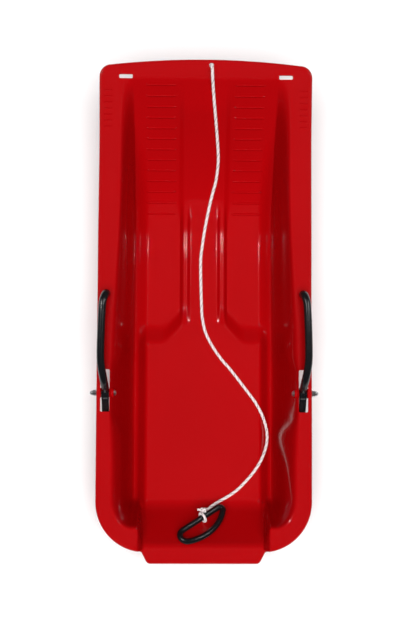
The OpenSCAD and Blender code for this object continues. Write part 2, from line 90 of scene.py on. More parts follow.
# The rim's inner edge: where it widens to the nose, and draws in behind the pivot
WIDEN_FROM, WIDEN_RUN = -60, 330
DRAW_IN, DRAW_IN_FROM, DRAW_IN_RUN = 3, PIVOT_Y - 60, 80
# How far the ramp's slope leans towards its foot
RAMP_CURVE = 0.8
# The ridge's two steps: place out from its top, run, and share of its height
SHOULDER = 13
RIDGE_STEPS = ((SHOULDER, 9, 0.62), (0, 8, 0.38))
# The low swell that the ridge turns into on the ramp, and where
SWELL_FROM, SWELL_RUN, SWELL_SHARE = 36, 16, 0.4
RIDGE_TURNS_AT, RIDGE_TURNS_RUN, RIDGE_END_RUN = RAMP_FOOT_Y + 20, 45, 60
# The seat's tongue in front of its edge, on the ridge, and the seat's bends
TONGUE, TONGUE_RUN, TOE_BENDS = 36, 45, (0.35, 0.75)
# How much sooner than the ramp the gutters end
GUTTER_SHORT = 10
# The tab's channel: its side bend, its start, its run, and the fall of its end
CHANNEL_INSET, CHANNEL_BEND, CHANNEL_RUN, TAB_FALL = 3, 10, 40, 4
# Shares of a wall where its bend at the rim ends and its bend at the foot starts
WALL_BEND, SIDE_BEND, WALL_FOOT, SIDE_FOOT = 0.14, 0.62, 0.72, 0.88
# The lip is shallower at the nose and the tail: its depth there, and where it changes
LIP_SHALLOW, LIP_NOSE_FROM, LIP_NOSE_RUN, LIP_TAIL_FROM, LIP_TAIL_RUN = 12, 250, 150, -300, 110
# How far the edges of the lip's foot lean towards each other, as a share of its width
LIP_ROUND = 0.22


# ---- The camera, looking almost straight down from 2.6 m --------------------

CAMERA_AT = (-0.0541, -0.2376, 2.600)
CAMERA_TURN = (0.0982, -0.0233, 0.0037)
LENS = 77.87


def make_camera():
    data = bpy.data.cameras.new("camera")
    data.sensor_fit = "VERTICAL"
    data.sensor_height = 36.0
    data.lens = LENS
    camera = bpy.data.objects.new("camera", data)
    camera.location = CAMERA_AT
    camera.rotation_euler = CAMERA_TURN
    bpy.context.scene.collection.objects.link(camera)
    bpy.context.scene.camera = camera


# ---- Shader maths as Python expressions -------------------------------------

class Sock:
    """A socket whose arithmetic adds Math nodes to its tree."""

    def __init__(self, made, out):
        self.made, self.out = made, out

    def _math(self, how, *values):
        return self.made("ShaderNodeMath", {"operation": how}, *values)[0]

    def __add__(self, v): return self._math("ADD", self, v)
    def __radd__(self, v): return self._math("ADD", v, self)
    def __sub__(self, v): return self._math("SUBTRACT", self, v)
    def __rsub__(self, v): return self._math("SUBTRACT", v, self)
    def __mul__(self, v): return self._math("MULTIPLY", self, v)
    def __rmul__(self, v): return self._math("MULTIPLY", v, self)


class Finish:
    """A material being made; calling it adds a node and returns its outputs."""

    def __init__(self, name, base, **constants):
        self.material = bpy.data.materials.new(name)
        self.material.use_nodes = True
        self.tree = self.material.node_tree
        self.bsdf = self.tree.nodes["Principled BSDF"]
        self.material.diffuse_color = (*base, 1)
        self.set("Base Color", (*base, 1))
        for key, value in constants.items():
            self.set(key.replace("_", " ").title(), value)

    def __call__(self, kind, settings, *values, **named):
        node = self.tree.nodes.new(kind)
        for key, value in settings.items():
            setattr(node, key, value)
        for at, value in [*enumerate(values), *named.items()]:
            if value is None:
                continue
            socket = node.inputs[at if isinstance(at, int) else at.replace("_", " ")]
            self.link(value, socket)
        return [Sock(self, out) for out in node.outputs]

    def link(self, value, socket):
        if isinstance(value, Sock):
            self.tree.links.new(value.out, socket)
        else:
            socket.default_value = value

    def set(self, name, value):
        self.link(value, self.bsdf.inputs[name])

    def place(self):
        return self("ShaderNodeTexCoord", {})[3]

    def noise(self, where, scale, detail=3.0):
        return self("ShaderNodeTexNoise", {}, Vector=where, Scale=scale, Detail=detail)[0]

    def tint(self, mask, low, high):
        """A colour between low and high, which are colours or links."""
        node = self.tree.nodes.new("ShaderNodeMix")
        node.data_type = "RGBA"
        self.link(mask, node.inputs[0])
        for value, socket in ((low, node.inputs[6]), (high, node.inputs[7])):
            self.link((*value, 1) if isinstance(value, tuple) else value, socket)
        return Sock(self, node.outputs[2])

    def band(self, value, low, high):
        """0 below low, 1 above high."""
        return self("ShaderNodeMapRange", {"clamp": True}, value, low, high, 0.0, 1.0)[0]

    def bump(self, height, strength, distance, under=None):
        named = {"Strength": strength, "Distance": distance, "Height": height}
        if under is not None:
            named["Normal"] = under
        return self("ShaderNodeBump", {}, **named)[0]


def scuffs(m, where, count, threshold):
    """Fine straight scratches: a noise drawn out along one way and cut thin."""
    stretched = m("ShaderNodeMapping", {}, where, None, (0.0, 0.0, 0.5), (1.0, 0.03, 1.0))[0]
    lines = m.noise(stretched, count, 2.0)
    patches = m.noise(where, 9.0)
    return m.band(lines, threshold, threshold + 0.05) * m.band(patches, 0.45, 0.65)


def red_plastic():
    m = Finish("red_plastic", (0.39, 0.001, 0.0025), roughness=0.2, coat_roughness=0.055)
    where = m.place()
    m.set("Specular IOR Level", 0.06)
    m.set("Coat Weight", 0.5)
    cloud = m.noise(where, 6.0, 2.0)
    m.set("Base Color", m.tint(cloud, (0.37, 0.0008, 0.002), (0.425, 0.0012, 0.003)))
    marks = scuffs(m, where, 900.0, 0.66)
    grain = m.noise(where, 1400.0, 2.0)
    m.set("Roughness", 0.19 + m.noise(where, 25.0) * 0.07 + marks * 0.16)
    waves = m.bump(m.noise(where, 11.0, 1.0), 0.04, 0.003)
    m.set("Normal", m.bump(grain - marks * 0.5, 0.06, 0.0003, waves))
    return m.material


def black_plastic(name, rough, grain_size):
    m = Finish(name, (0.006, 0.006, 0.007), roughness=rough)
    where = m.place()
    m.set("Specular IOR Level", 0.35)
    cloud = m.noise(where, 40.0)
    m.set("Base Color", m.tint(cloud, (0.004, 0.004, 0.005), (0.009, 0.009, 0.010)))
    marks = scuffs(m, where, 1200.0, 0.64)
    m.set("Roughness", rough + cloud * 0.1 + marks * 0.2)
    m.set("Normal", m.bump(m.noise(where, grain_size, 2.0) - marks * 0.4, 0.16, 0.0003))
    return m.material


def zinc_steel():
    m = Finish("zinc_steel", (0.62, 0.62, 0.64), roughness=0.3, metallic=1.0)
    where = m.place()
    spangle = m("ShaderNodeTexVoronoi", {}, Vector=where, Scale=900.0)[1]
    cloud = m.noise(where, 160.0)
    bright = m.tint(cloud, (0.50, 0.50, 0.52), (0.74, 0.74, 0.76))
    m.set("Base Color", m.tint(m.band(cloud, 0.62, 0.75), bright, (0.42, 0.40, 0.37)))
    m.set("Roughness", 0.24 + cloud * 0.22)
    turned = m("ShaderNodeMapping", {}, where, None, None, (1.0, 0.05, 0.05))[0]
    m.set("Normal", m.bump(m.noise(turned, 3000.0) + m.noise(spangle, 3.0) * 0.2, 0.12, 0.0002))
    return m.material


def rope_yarn(name, low, high):
    m = Finish(name, high, roughness=0.75)
    m.set("Sheen Weight", 0.25)
    where = m.place()
    fibre = m.noise(where, 2600.0, 2.0)
    m.set("Base Color", m.tint(fibre, low, high))
    m.set("Roughness", 0.66 + fibre * 0.2)
    m.set("Normal", m.bump(fibre, 0.5, 0.0003))
    return m.material


# ---- Small mesh helpers ------------------------------------------------------

def add_mesh(name, verts, faces, materials, smooth=True):
    """A piece from points in millimetres."""
    mesh = bpy.data.meshes.new(name)
    mesh.from_pydata([tuple(v) for v in np.asarray(verts, float) * MM], [], [tuple(f) for f in faces])
    mesh.validate()
    obj = bpy.data.objects.new(name, mesh)
    bpy.context.scene.collection.objects.link(obj)
    for material in materials:
        mesh.materials.append(material)
    if smooth:
        mesh.shade_smooth()
    return obj


def outward(obj):
    b = bmesh.new()
    b.from_mesh(obj.data)
    bmesh.ops.recalc_face_normals(b, faces=b.faces)
    b.to_mesh(obj.data)
    b.free()


def baked(obj):
    """Turns what the modifiers make into the object's own mesh."""
    view = bpy.context.evaluated_depsgraph_get()
    mesh = bpy.data.meshes.new_from_object(obj.evaluated_get(view))
    obj.modifiers.clear()
    obj.data = mesh
    return obj


def cut_away(obj, cutters):
    for cutter in cutters:
        step = obj.modifiers.new("cut", "BOOLEAN")
        step.operation, step.solver, step.object = "DIFFERENCE", "EXACT", cutter
    baked(obj)
    for cutter in cutters:
        bpy.data.objects.remove(cutter)


def soften(obj, angle=35):
    obj.data.shade_smooth()
    obj.data.set_sharp_from_angle(angle=math.radians(angle))


def headings(line, closed):
    p = np.asarray(line, float)
    if closed:
        d = np.roll(p, -1, 0) - np.roll(p, 1, 0)
    else:
        d = np.gradient(p, axis=0)
    return d / np.linalg.norm(d, axis=1)[:, None]


def carried_sides(line, closed, start):
    """Side directions along a line, each carried on from the one before."""
    t = headings(line, closed)
    us, u = [], np.asarray(start, float)
    for d in t:
        u = u - u.dot(d) * d
        u = u / np.linalg.norm(u)
        us.append(u)
    us = np.array(us)
    return us, np.cross(t, us)


def swept(name, line, ring, materials, closed=False, start=(1, 0, 0)):
    """Sweeps a closed ring of points along a line."""
    us, vs = carried_sides(line, closed, start)
    n, m = len(line), len(ring)
    verts = [line[i] + ring[:, :1] * us[i] + ring[:, 1:] * vs[i] for i in range(n)]
    faces = [(i * m + k, ((i + 1) % n) * m + k, ((i + 1) % n) * m + (k + 1) % m, i * m + (k + 1) % m)
             for i in range(n if closed else n - 1) for k in range(m)]
    if not closed:
        faces += [tuple(range(m)), tuple((n - 1) * m + k for k in range(m - 1, -1, -1))]
    obj = add_mesh(name, np.concatenate(verts), faces, materials)
    outward(obj)
    return obj


def circle(r, n):
    t = np.linspace(0, 2 * np.pi, n, endpoint=False)
    return np.stack([r * np.cos(t), r * np.sin(t)], 1)


def smooth_line(points, step):
    """A Catmull-Rom line through points, with rings about step apart."""
    p = np.asarray(points, float)
    ends = np.vstack([2 * p[0] - p[1], p, 2 * p[-1] - p[-2]])
    out = []
    for i in range(1, len(ends) - 2):
        a, b, c, d = ends[i - 1:i + 3]
        n = max(2, int(round(np.linalg.norm(c - b) / step)))
        t = (np.arange(n) / n)[:, None]
        out.append(0.5 * (2 * b + (c - a) * t + (2 * a - 5 * b + 4 * c - d) * t ** 2
                          + (3 * b - a - 3 * c + d) * t ** 3))
    return np.vstack([*out, p[-1:]])


# ---- The hull's surface, as a height over each point -------------------------

def ease(t, a=0.3, b=0.7):
    """Rises from 0 to 1 with a fillet at each end."""
    t = np.asarray(t, float)
    m = 2 / (1 + b - a)
    return np.select([t <= 0, t < a, t < b, t < 1],
                     [0 * t, m * t * t / (2 * a), m * (t - a / 2),
                      1 - m * (1 - t) ** 2 / (2 * (1 - b))], 1.0)


def mix(p, q, t):
    return p + (q - p) * t


def rim_z(y):
    rise = np.maximum(0, (np.asarray(y, float) - RISE_FROM) / (NOSE_Y - RISE_FROM)) ** RISE_POWER
    return RIM_H - DIP * ease((DIP_FROM - y) / DIP_RUN) + (NOSE_H - RIM_H) * rise


def rim_in(y):
    return (mix(RIM_IN_SEAT, RIM_IN_NOSE, ease((y - WIDEN_FROM) / WIDEN_RUN, 0.1, 0.5))
            - DRAW_IN * ease((DRAW_IN_FROM - y) / DRAW_IN_RUN))


def floor_z(y):
    y = np.asarray(y, float)
    t = (y - RAMP_FOOT_Y) / RAMP_LEN
    ramp = mix(WELL_Z, rim_z(RAMP_TOP_Y), (1 + RAMP_CURVE) * t * t - RAMP_CURVE * t ** 3)
    return np.select([t <= 0, t < 1], [WELL_Z + 0 * t, ramp], rim_z(y))


def ridge(x, y):
    crisp = sum(share * (1 - ease((x - RIDGE_HALF - out) / run))
                for out, run, share in RIDGE_STEPS)
    swell = SWELL_SHARE * (1 - ease((x - SWELL_FROM) / SWELL_RUN))
    t = ease((y - RIDGE_TURNS_AT) / RIDGE_TURNS_RUN)
    return mix(crisp, swell, t) * (1 - ease((y - RAMP_TOP_Y + RIDGE_END_RUN) / RIDGE_END_RUN))


def seat(x, y):
    tongue = TONGUE * (1 - ease((x - RIDGE_HALF - SHOULDER) / TONGUE_RUN, 0.1, 0.6))
    return ease((SEAT_FRONT + TOE_LEN + tongue - y) / TOE_LEN, *TOE_BENDS)


def inside_z(x, y):
    raised = floor_z(y) + SEAT_H * (1 - (1 - ridge(x, y)) * (1 - seat(x, y)))
    gutter = floor_z(y) - GUTTER_DEPTH * (1 - ease((y - RAMP_FOOT_Y) / (RAMP_LEN - GUTTER_SHORT)))
    return mix(raised, gutter, ease((x - FLOOR_HALF) / (GUTTER_IN - FLOOR_HALF)))


def channel(x):
    return 1 - ease((x - TAB_HALF + CHANNEL_INSET) / CHANNEL_BEND)


def wall_up(x, y):
    side = (rim_in(y) - x) / (rim_in(y) - GUTTER_OUT)
    rear_edge = RIM_TAIL_Y + mix(REAR_RIM, 4, channel(x))
    rear = (y - rear_edge) / (REAR_FOOT_Y - rear_edge)
    s, r = np.maximum(0, 1 - side), np.maximum(0, 1 - rear)
    # The sides roll over broadly into the rim, except in the pocket at the pivot
    broad = ease((np.abs(y - PIVOT_Y) - POCKET_HALF) / POCKET_FADE)
    share = s * s / np.maximum(s * s + r * r, 1e-6)
    return 1 - ease(1 - np.sqrt(s * s + r * r), mix(WALL_BEND, SIDE_BEND, broad * share),
                    mix(WALL_FOOT, SIDE_FOOT, share))


def tab_z(x, y):
    return (rim_z(y) - TAB_DROP * channel(x) * ease((RAMP_FOOT_Y - y) / CHANNEL_RUN)
            - TAB_FALL * ease((RIM_TAIL_Y - y) / TAB_LEN, 0.3, 1))


def top_z(x, y):
    x = np.abs(x)
    return mix(inside_z(x, y), tab_z(x, y), wall_up(x, y))


# ---- The hull: one drawn shell with a rolled lip ------------------------------

def arc(cx, cy, r, a0, a1, n):
    a = np.radians(np.linspace(a0, a1, n + 1))
    return np.stack([cx + r * np.cos(a), cy + r * np.sin(a), np.cos(a), np.sin(a)], 1)


# Rows of the hull's grid round the nose corner, along the side and round the rear corner
NOSE_ROWS, SIDE_ROWS, REAR_ROWS = 14, 196, 44
# How far the side draws in towards the nose, from where, and over what length
SIDE_DRAW, SIDE_DRAW_FROM, SIDE_DRAW_RUN = 2, 100, 250


def hull_outline():
    """The right side from nose to tail: x, y and the outward direction."""
    side_top = NOSE_Y - BOW - NOSE_R
    nose = arc(HALF_W - SIDE_DRAW - NOSE_R, side_top, NOSE_R, 90, 0, NOSE_ROWS)
    side_end = RIM_TAIL_Y + REAR_R
    ys = np.linspace(side_top - 3.5, side_end + 3.5, SIDE_ROWS)
    drawn = SIDE_DRAW * ease((ys - SIDE_DRAW_FROM) / SIDE_DRAW_RUN)
    side = np.stack([HALF_W - drawn, ys, 1 + 0 * ys, 0 * ys], 1)
    rear_x = HALF_W - REAR_R
    rear = arc(rear_x, side_end, REAR_R, 0,
               -math.degrees(math.acos((TAB_HALF + 3 - rear_x) / REAR_R)), REAR_ROWS)
    a = -math.degrees(math.atan2(TAB_TAPER, TAB_LEN))
    c, s = math.cos(math.radians(a)), math.sin(math.radians(a))
    # The rear corner turns into the tab's side in a small fillet
    last, first = rear[-1], np.array([TAB_HALF, RIM_TAIL_Y - 2, c, s])
    t = np.linspace(0, 1, 6)[1:-1, None]
    fillet = last * (1 - t) + first * t
    fillet[:, 2:] /= np.linalg.norm(fillet[:, 2:], axis=1)[:, None]
    down = np.linspace(0, 0.35, 5)
    tab = np.stack([TAB_HALF - TAB_TAPER * down, RIM_TAIL_Y - np.maximum(2, TAB_LEN * down),
                    c + 0 * down, s + 0 * down], 1)
    corner = arc(TAB_HALF - TAB_TAPER - TAB_R + 3, TAIL_Y + TAB_R, TAB_R, a, -90, 9)
    return np.concatenate([nose, side, rear, fillet, tab, corner])


def columns(y, edge):
    """Distances from the middle out to the lip's bend, drawn in with the edge."""
    r, full = float(rim_in(y)), HALF_W - BEND_R
    marks = [0, RIDGE_HALF - 3, RIDGE_HALF + 28, FLOOR_HALF - 6, GUTTER_OUT + 2, r + 2, full]
    counts = [5, 14, 9, 16, 18, 6]
    xs = [0.0]
    for a, b, n in zip(marks, marks[1:], counts):
        xs += list(np.linspace(a, b, n + 1)[1:])
    return np.array(xs) * edge / full


def hull_grid(outline):
    rows = []
    for x, y, nx, ny in outline:
        edge, y = x - BEND_R * nx, y - BEND_R * ny
        half = columns(y, edge)
        xs = np.concatenate([-half[:0:-1], half])
        bend = BOW * (1 - (xs / edge) ** 2) * ease((y - RAMP_TOP_Y + 60) / (NOSE_BAND + 40))
        rows.append(np.stack([xs, y + bend, top_z(xs, y + bend)], 1))
    return np.array(rows)


def hull_shell(red):
    outline = hull_outline()
    grid = hull_grid(outline)
    rows, cols = grid.shape[:2]
    along, across = np.gradient(grid, axis=0), np.gradient(grid, axis=1)
    n = np.cross(across, along)
    n /= np.linalg.norm(n, axis=2)[..., None]
    n[n[..., 2] < 0] *= -1
    under = grid - WALL * n
    edge = np.zeros((rows, cols), bool)
    edge[0] = edge[-1] = edge[:, 0] = edge[:, -1] = True
    under[edge] = grid[edge] - [0, 0, WALL]

    loop = [(i, cols - 1, outline[i][2], outline[i][3]) for i in range(rows - 1)]
    loop += [(rows - 1, j, outline[-1][2] if j == cols - 1 else 0,
              outline[-1][3] if j == cols - 1 else -1) for j in range(cols - 1, 0, -1)]
    loop += [(i, 0, -outline[i][2], outline[i][3]) for i in range(rows - 1, 0, -1)]
    loop += [(0, j, 0, 1) for j in range(cols - 1)]
    turn = np.radians(np.linspace(0, 90, 6)[1:])

    def lip(r, drop):
        """The bend, then the side of the lip down to its foot."""
        rings = []
        for i, j, nx, ny in loop:
            p = grid[i, j]
            ends = max(float(ease((p[1] - LIP_NOSE_FROM) / LIP_NOSE_RUN)),
                       float(ease((LIP_TAIL_FROM - p[1]) / LIP_TAIL_RUN)))
            depth = LIP_H - (LIP_H - LIP_SHALLOW) * ends
            prof = [(r * math.sin(a), drop + r * (1 - math.cos(a))) for a in turn]
            prof += [(r + LIP_DRAFT * s, mix(drop + r, depth, s)) for s in (0.4, 0.92)]
            prof.append((r + LIP_DRAFT, depth))
            rings.append([p + [nx * out, ny * out, -down] for out, down in prof])
        return np.array(rings).transpose(1, 0, 2)

    outer, inner = lip(BEND_R, 0), lip(BEND_R - WALL, WALL)
    # The foot of the lip is rounded over
    outer[-1] += (inner[-1] - outer[-1]) * LIP_ROUND
    inner[-1] += (outer[-1] - inner[-1]) * LIP_ROUND
    k, size = len(loop), rows * cols
    verts = np.concatenate([grid.reshape(-1, 3), under.reshape(-1, 3),
                            outer.reshape(-1, 3), inner.reshape(-1, 3)])
    flat = [i * cols + j for i, j, _, _ in loop]
    rings_out = [flat] + [[2 * size + s * k + q for q in range(k)] for s in range(len(outer))]
    base = 2 * size + len(outer) * k
    rings_in = [[size + f for f in flat]] + [[base + s * k + q for q in range(k)]
                                             for s in range(len(inner))]
    faces = []
    for i in range(rows - 1):
        for j in range(cols - 1):
            a = i * cols + j
            faces.append((a, a + cols, a + cols + 1, a + 1))
            faces.append((size + a, size + a + 1, size + a + cols + 1, size + a + cols))
    for rings, way in ((rings_out, 1), (rings_in, -1)):
        for lo, hi in zip(rings, rings[1:]):
            faces += [(lo[q], lo[(q + 1) % k], hi[(q + 1) % k], hi[q])[::way] for q in range(k)]
    lo, hi = rings_out[-1], rings_in[-1]
    faces += [(lo[q], lo[(q + 1) % k], hi[(q + 1) % k], hi[q]) for q in range(k)]
    obj = add_mesh("hull_shell", verts, faces, [red])
    outward(obj)
    return obj


# ---- Places along the sides ---------------------------------------------------

PIVOT_Z = float(rim_z(PIVOT_Y)) - PIVOT_DROP
BOSS_IN = float(rim_in(PIVOT_Y)) - 8
LEVER_IN, LEVER_OUT = LEVER_X - LEVER_T / 2, LEVER_X + LEVER_T / 2
LIP_FACE, BOSS_R, LEVER_GAP = WIDTH / 2, 9, 0.4
# Room round the bolt in the hull's and the lever's bores, and beside a lever in its slot
HULL_FIT, LEVER_FIT, SLOT_GAP = 0.1, 0.15, 1.5
SLOT_FRONT, SLOT_REAR = PIVOT_Y + 43, PIVOT_Y - 35
STRAP_Y = RAMP_TOP_Y + 3
ROPE_HOLE = (10, NOSE_Y - 11)


def rounded_plate(x0, x1, y0, y1, r, n=6):
    """Outline of a plate with round corners."""
    pts = []
    for cx, cy, a in ((x1 - r, y1 - r, 0), (x0 + r, y1 - r, 90), (x0 + r, y0 + r, 180),
                      (x1 - r, y0 + r, 270)):
        pts += [tuple(p[:2]) for p in arc(cx, cy, r, a, a + 90, n)]
    return pts


def prism(name, outline, z0, z1):
    m = len(outline)
    verts = [(x, y, z) for z in (z0, z1) for x, y in outline]
    faces = [(k, (k + 1) % m, m + (k + 1) % m, m + k) for k in range(m)]
    faces += [tuple(range(m - 1, -1, -1)), tuple(range(m, 2 * m))]
    obj = add_mesh(name, verts, faces, [], smooth=False)
    outward(obj)
    return obj


def turned(name, profile, side, materials, n=48, flats=0):
    """A shape turned about the pivot's axis: profile is (x outwards, radius)."""
    verts, faces, m = [], [], len(profile)
    for i in range(n):
        a = 2 * math.pi * i / n
        for x, r in profile:
            if flats and r > 0:
                r = r / math.cos((a + math.pi / flats) % (2 * math.pi / flats) - math.pi / flats)
            verts.append((side * x, PIVOT_Y + r * math.cos(a), PIVOT_Z + r * math.sin(a)))
    for i in range(n):
        for k in range(m - 1):
            a, b = i * m + k, ((i + 1) % n) * m + k
            faces.append((a, b, b + 1, a + 1))
    obj = add_mesh(name, verts, faces, materials)
    b = bmesh.new()
    b.from_mesh(obj.data)
    bmesh.ops.remove_doubles(b, verts=b.verts, dist=1e-6)
    holes = [e for e in b.edges if e.is_boundary]
    if holes:
        bmesh.ops.holes_fill(b, edges=holes, sides=0)
    bmesh.ops.recalc_face_normals(b, faces=b.faces)
    b.to_mesh(obj.data)
    b.free()
    soften(obj, 40)
    return obj


def hull_cutters():
    cutters = []
    for s in (-1, 1):
        x0, x1 = sorted((s * (LEVER_IN - SLOT_GAP), s * (LEVER_OUT + SLOT_GAP)))
        cutters.append(prism("cut", rounded_plate(x0, x1, SLOT_REAR, SLOT_FRONT, 2.5),
                             PIVOT_Z + 5, RIM_H + 30))
        cutters.append(prism("cut", rounded_plate(s * STRAP_X - STRAP_L / 2, s * STRAP_X + STRAP_L / 2,
                                                  STRAP_Y - STRAP_W / 2, STRAP_Y + STRAP_W / 2, 1.9),
                             NOSE_H - 60, NOSE_H + 30))
        bore = BOLT_D / 2 + HULL_FIT
        cutters.append(turned("cut", [(BOSS_IN - 5, bore), (LIP_FACE + 5, bore)], s, []))
    hole = [tuple(p[:2]) for p in arc(*ROPE_HOLE, ROPE_HOLE_D / 2, 0, 360, 28)[:-1]]
    cutters.append(prism("cut", hole, NOSE_H - 40, NOSE_H + 40))
    # Joined, so that one step cuts them all
    whole = cutters[0]
    with bpy.context.temp_override(active_object=whole, object=whole,
                                   selected_editable_objects=cutters, selected_objects=cutters):
        bpy.ops.object.join()
    return [whole]


def pivot_boss(name, x0, x1, side, red):
    bore, f = BOLT_D / 2 + HULL_FIT, 0.9
    profile = [(x0 + 0.3, bore), (x0, bore + 0.4), (x0, BOSS_R - f), (x0 + f * 0.3, BOSS_R - f * 0.3),
               (x0 + f, BOSS_R), (x1 - f, BOSS_R), (x1 - f * 0.3, BOSS_R - f * 0.3),
               (x1, BOSS_R - f), (x1, bore + 0.4), (x1 - 0.3, bore), (x0 + 0.3, bore)]
    return turned(name, profile, side, [red])


def keel(name, side, red):
    x = side * (GUTTER_IN + GUTTER_OUT) / 2
    plate = rounded_plate(x - 5, x + 5, REAR_FOOT_Y + 15, RAMP_FOOT_Y - 15, 4.9, 9)
    obj = prism(name, plate, 0, KEEL_H + WALL * 0.6)
    obj.data.materials.append(red)
    bevel = obj.modifiers.new("edge", "BEVEL")
    bevel.width, bevel.segments, bevel.limit_method = 0.0009, 3, "ANGLE"
    baked(obj)
    soften(obj)
    return obj


# ---- Ribs, laid by Geometry Nodes along a line on the surface -----------------

class Tree:
    """A Geometry Nodes tree with named inputs."""

    def __init__(self, name, inputs):
        self.group = bpy.data.node_groups.new(name, "GeometryNodeTree")
        face = self.group.interface
        face.new_socket("Geometry", in_out="INPUT", socket_type="NodeSocketGeometry")
        self.ids = {}
        for label, kind in inputs.items():
            self.ids[label] = face.new_socket(label, in_out="INPUT", socket_type=kind).identifier
        face.new_socket("Geometry", in_out="OUTPUT", socket_type="NodeSocketGeometry")
        self.inp = self.group.nodes.new("NodeGroupInput")
        self.out = self.group.nodes.new("NodeGroupOutput")

    def feed(self, value, socket):
        if isinstance(value, bpy.types.NodeSocket):
            self.group.links.new(value, socket)
        else:
            socket.default_value = value

    def __call__(self, kind, settings=None, **links):
        """Adds a node and returns its first output."""
        node = self.group.nodes.new(kind)
        for key, value in (settings or {}).items():
            setattr(node, key, value)
        for key, value in links.items():
            self.feed(value, node.inputs[key.replace("_", " ")])
        return node.outputs[0]

    def math(self, how, *values):
        node = self.group.nodes.new("ShaderNodeMath")
        node.operation = how
        for value, socket in zip(values, node.inputs):
            self.feed(value, socket)
        return node.outputs[0]

    def given(self, label):
        return self.inp.outputs[label]

    def ends(self, socket):
        self.group.links.new(socket, self.out.inputs[0])

    def applied(self, obj, **values):
        step = obj.modifiers.new("made", "NODES")
        step.node_group = self.group
        for label, value in values.items():
            step[self.ids[label.replace("_", " ")]] = value
        return baked(obj)


def rib_tree():
    """Round-ended ribs, one at each of Count places along the line."""
    t = Tree("ribs_across", {"Count": "NodeSocketInt", "Rib length": "NodeSocketFloat",
                             "Rib radius": "NodeSocketFloat", "Sink": "NodeSocketFloat",
                             "Finish": "NodeSocketMaterial"})
    line = t("GeometryNodeMeshToCurve", Mesh=t.given("Geometry"))
    places = t("GeometryNodeResampleCurve", {"mode": "COUNT"}, Curve=line, Count=t.given("Count"))
    points = t("GeometryNodeCurveToPoints", {"mode": "EVALUATED"}, Curve=places)
    half = t.math("MULTIPLY", t.given("Rib length"), 0.5)
    left = t("ShaderNodeCombineXYZ", X=t.math("MULTIPLY", half, -1.0))
    spine = t("GeometryNodeCurvePrimitiveLine", Start=left, End=t("ShaderNodeCombineXYZ", X=half))
    fine = t("GeometryNodeResampleCurve", {"mode": "COUNT"}, Curve=spine, Count=41)
    # The rib thins to about a third over its last tenth at each end
    away = t.math("ABSOLUTE", t.math("SUBTRACT", t("GeometryNodeSplineParameter"), 0.5))
    fade = t("ShaderNodeMapRange", {"interpolation_type": "SMOOTHSTEP"}, Value=away,
             From_Min=0.5, From_Max=0.40, To_Min=0.35, To_Max=1.0)
    ring = t("GeometryNodeCurvePrimitiveCircle", Resolution=16, Radius=1.0)
    bar = t("GeometryNodeCurveToMesh", Curve=fine, Profile_Curve=ring, Fill_Caps=True,
            Scale=t.math("MULTIPLY", fade, t.given("Rib radius")))
    sunk = t("ShaderNodeCombineXYZ", Z=t.given("Sink"))
    lowered = t("GeometryNodeTransform", Geometry=bar, Translation=sunk)
    many = t("GeometryNodeInstanceOnPoints", Points=points, Instance=lowered)
    real = t("GeometryNodeRealizeInstances", Geometry=many)
    smooth = t("GeometryNodeSetShadeSmooth", Geometry=real)
    t.ends(t("GeometryNodeSetMaterial", Geometry=smooth, Material=t.given("Finish")))
    return t


def surface_line(name, x, y0, y1, n):
    """An open line of edges on the hull's top, at one distance from the middle."""
    ys = np.linspace(y0, y1, n)
    pts = np.stack([x + 0 * ys, ys, top_z(x + 0 * ys, ys)], 1) * MM
    mesh = bpy.data.meshes.new(name)
    mesh.from_pydata([tuple(p) for p in pts], [(i, i + 1) for i in range(n - 1)], [])
    obj = bpy.data.objects.new(name, mesh)
    bpy.context.scene.collection.objects.link(obj)
    return obj


# First and last rib along Y, middle along X, length, radius and number
RIB_FROM, RIB_TO, RIB_FIRST = RIDGE_HALF + 28, FLOOR_HALF + 6, RAMP_TOP_Y - 10
RIB_ROWS = {
    "footwell_ribs": (RIB_FIRST, RIB_FIRST - (RIB_COUNT - 1) * RIB_PITCH, (RIB_FROM + RIB_TO) / 2,
                      RIB_TO - RIB_FROM, 2.2, RIB_COUNT),
    "rim_ribs": (407, 341, 181, 16, 1.2, 7),
}
RIB_SINK = 0.35


def hull_ribs(red):
    tree = rib_tree()
    made = []
    for side, tag in ((-1, "left"), (1, "right")):
        for name, (y0, y1, x, length, radius, count) in RIB_ROWS.items():
            line = surface_line(f"{name}_{tag}", side * x, y0, y1, count)
            made.append(tree.applied(line, Count=count, Rib_length=length * MM,
                                     Rib_radius=radius * MM, Sink=-RIB_SINK * MM, Finish=red))
            outward(made[-1])
    return made


# ---- Brake levers ---------------------------------------------------------------

GRIP_R, HUB_R, HUB_EDGE, BLADE_ANGLE = GRIP_D / 2, 12, 1.2, 35
TOOTH, TEETH, FUSE_VOXEL = 8, 4, 1.1
GRIP_Z, GRIP_X = float(rim_z(PIVOT_Y)) + GRIP_LIFT, LEVER_X + 7
GRIP_PATH = [
    (LEVER_X, PIVOT_Y + 2, PIVOT_Z + 2), (LEVER_X, PIVOT_Y + 12, PIVOT_Z + 20),
    (LEVER_X + 2.5, PIVOT_Y + 28, GRIP_Z - 7), (GRIP_X - 0.5, PIVOT_Y + 54, GRIP_Z - 1),
    (GRIP_X, PIVOT_Y + GRIP_LEN * 0.5, GRIP_Z),
    (GRIP_X - 2, PIVOT_Y + GRIP_LEN - 26, GRIP_Z - 1),
    (GRIP_X - 5, PIVOT_Y + GRIP_LEN - 8, GRIP_Z - 4),
    (LEVER_X - 1, PIVOT_Y + GRIP_LEN, GRIP_Z - 11),
    (LEVER_X - 2, PIVOT_Y + GRIP_LEN, float(rim_z(PIVOT_Y + GRIP_LEN)) + GRIP_R + 0.5),
]


